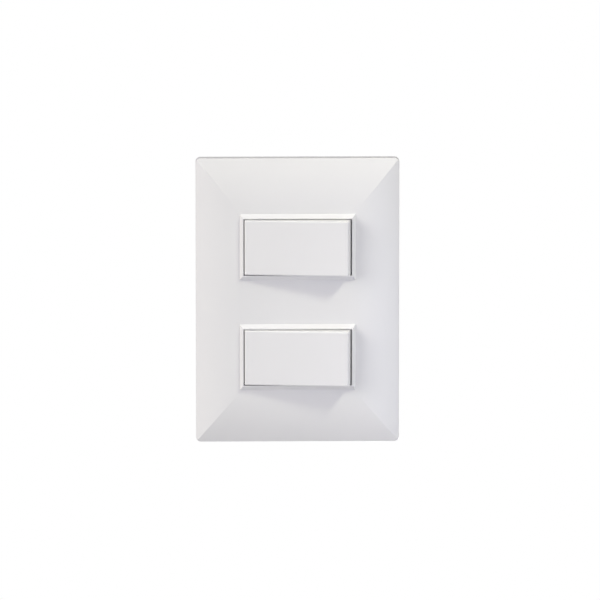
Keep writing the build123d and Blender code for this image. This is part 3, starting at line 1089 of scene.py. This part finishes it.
@dataclass
class Studio:
    """The white studio: ambient light, soft lights, a pale floor and the camera.

    Args:
        lights: The soft lights.
        ambient: The colour of the light from all round.
        ambient_strength: Its strength.
        azimuth: How far right of the switch the camera stands, in degrees.
        elevation: How far above it the camera stands, in degrees.
        distance: How far away the camera stands.
        view_width: The width that the picture takes in, at the switch.
        aim_right: How far right of the origin the camera aims.
        aim_up: How far above the origin the camera aims.
        sensor_width: The width of the camera's sensor, in millimetres.
        sight: How far the camera sees.
        floor_drop: How far below the origin the floor lies.
        floor_reach: Half the floor's side.
    """

    lights: list[SoftLight]
    ambient: Colour = (0.80, 0.78, 1.0)
    ambient_strength: float = 0.169
    azimuth: float = -1.0
    elevation: float = 10.0
    distance: float = 3.0
    view_width: float = 0.24236
    aim_right: float = 1.08 * MM
    aim_up: float = -0.65 * MM
    sensor_width: float = 36.0
    sight: float = 20.0
    floor_drop: float = 0.30
    floor_reach: float = 0.5

    def light(self) -> None:
        """Hangs the lights and fills the room with even light, white where the camera sees it."""
        for lamp in self.lights:
            lamp.hang()
        world = bpy.data.worlds.new("white_room")
        world.use_nodes = True
        world.node_tree.nodes.clear()
        wiring = Wiring(world.node_tree)
        end = wiring.node("ShaderNodeOutputWorld")
        even = wiring.node(
            "ShaderNodeBackground",
            {"Color": (*self.ambient, 1.0), "Strength": self.ambient_strength},
        )
        white = wiring.node(
            "ShaderNodeBackground", {"Color": (1.0, 1.0, 1.0, 1.0), "Strength": 1.0}
        )
        seen = wiring.node("ShaderNodeLightPath").outputs["Is Camera Ray"]
        both = wiring.node(
            "ShaderNodeMixShader", {0: seen, 1: even.outputs[0], 2: white.outputs[0]}
        )
        wiring.feed(end, {"Surface": both.outputs[0]})
        bpy.context.scene.world = world
        bpy.context.scene.view_settings.view_transform = "Standard"

    def lay_floor(self) -> None:
        """Lays the pale floor, well below the switch."""
        shape = bmesh.new()
        bmesh.ops.create_grid(
            shape,
            x_segments=1,
            y_segments=1,
            size=self.floor_reach,
            matrix=Matrix.Translation((0, 0, -self.floor_drop)),
        )
        pale = MouldedPlastic(
            "pale_floor", (0.87, 0.87, 0.84), roughness=0.7, tint=0.01, grain=3 * MM
        )
        new_piece("floor", [shape], pale.material())

    def place_camera(self) -> None:
        """Stands the camera where the picture was taken from."""
        turn, lift = math.radians(self.azimuth), math.radians(self.elevation)
        level = math.cos(lift)
        back = Vector((math.sin(turn) * level, -math.cos(turn) * level, math.sin(lift)))
        facing = (-back).to_track_quat("-Z", "Y")
        aim = facing @ Vector((self.aim_right, self.aim_up, 0))
        lens = bpy.data.cameras.new("camera")
        lens.sensor_width = self.sensor_width
        lens.lens = self.sensor_width * self.distance / self.view_width
        lens.clip_end = self.sight
        camera = bpy.data.objects.new("camera", lens)
        camera.location = aim + back * self.distance
        camera.rotation_mode = "QUATERNION"
        camera.rotation_quaternion = facing
        bpy.context.scene.collection.objects.link(camera)
        bpy.context.scene.camera = camera


def clear_room() -> None:
    """Removes the objects that Blender starts with."""
    kept = {*frame["nodes"].values(), *frame["bodies"].values()}
    for thing in list(bpy.data.objects):
        if thing not in kept:
            bpy.data.objects.remove(thing)


def main() -> None:
    """Builds, dresses and lights the switch."""
    logging.basicConfig(level=logging.INFO, format="%(message)s")
    clear_room()
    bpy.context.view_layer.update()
    plating = BareMetal("zinc_plating", (0.68, 0.69, 0.70), (0.50, 0.50, 0.48), draw=Draw.ROUND)
    silver = BareMetal("contact_silver", (0.88, 0.87, 0.84), (0.62, 0.58, 0.52), draw=Draw.ROUND)
    wire = BareMetal("spring_wire", (0.56, 0.56, 0.56), (0.38, 0.37, 0.36), draw=Draw.ROUND)
    brass = BareMetal("terminal_brass", (0.80, 0.60, 0.28), (0.55, 0.38, 0.17))
    copper = BareMetal("bridge_copper", (0.80, 0.47, 0.30), (0.52, 0.28, 0.17))
    plate = MouldedPlastic("plate_white", (0.790, 0.788, 0.785))
    key = MouldedPlastic("key_white", (0.806, 0.804, 0.801))
    deck = MouldedPlastic("deck_white", (0.74, 0.74, 0.73), roughness=0.42)
    nylon = MouldedPlastic("nylon", (0.78, 0.75, 0.66), roughness=0.38)
    chassis = MouldedPlastic(
        "chassis_grey", (0.60, 0.60, 0.59), roughness=0.45, pin_spacing=14 * MM
    )
    body = MouldedPlastic("body_white", (0.70, 0.70, 0.68), roughness=0.42, pin_spacing=9 * MM)
    front = PlateAndFrame(plate, chassis, plating)
    front.dress_solids()
    front.build_screws()
    finishes = ModuleFinishes(
        key=key.material(),
        body=body.material(),
        cover=deck.material(),
        plunger=nylon.material(),
        brass=brass.material(),
        bridge=copper.material(),
        contact=silver.material(),
        screw=plating.material(),
        spring=wire.material(),
    )
    for module in Module:
        switch = SwitchModule(module, finishes)
        switch.dress_solids()
        switch.build_clamp_screws()
        switch.wind_spring()
    studio = Studio(soft_lights())
    studio.light()
    studio.lay_floor()
    studio.place_camera()


if __name__ == "__main__":
    main()
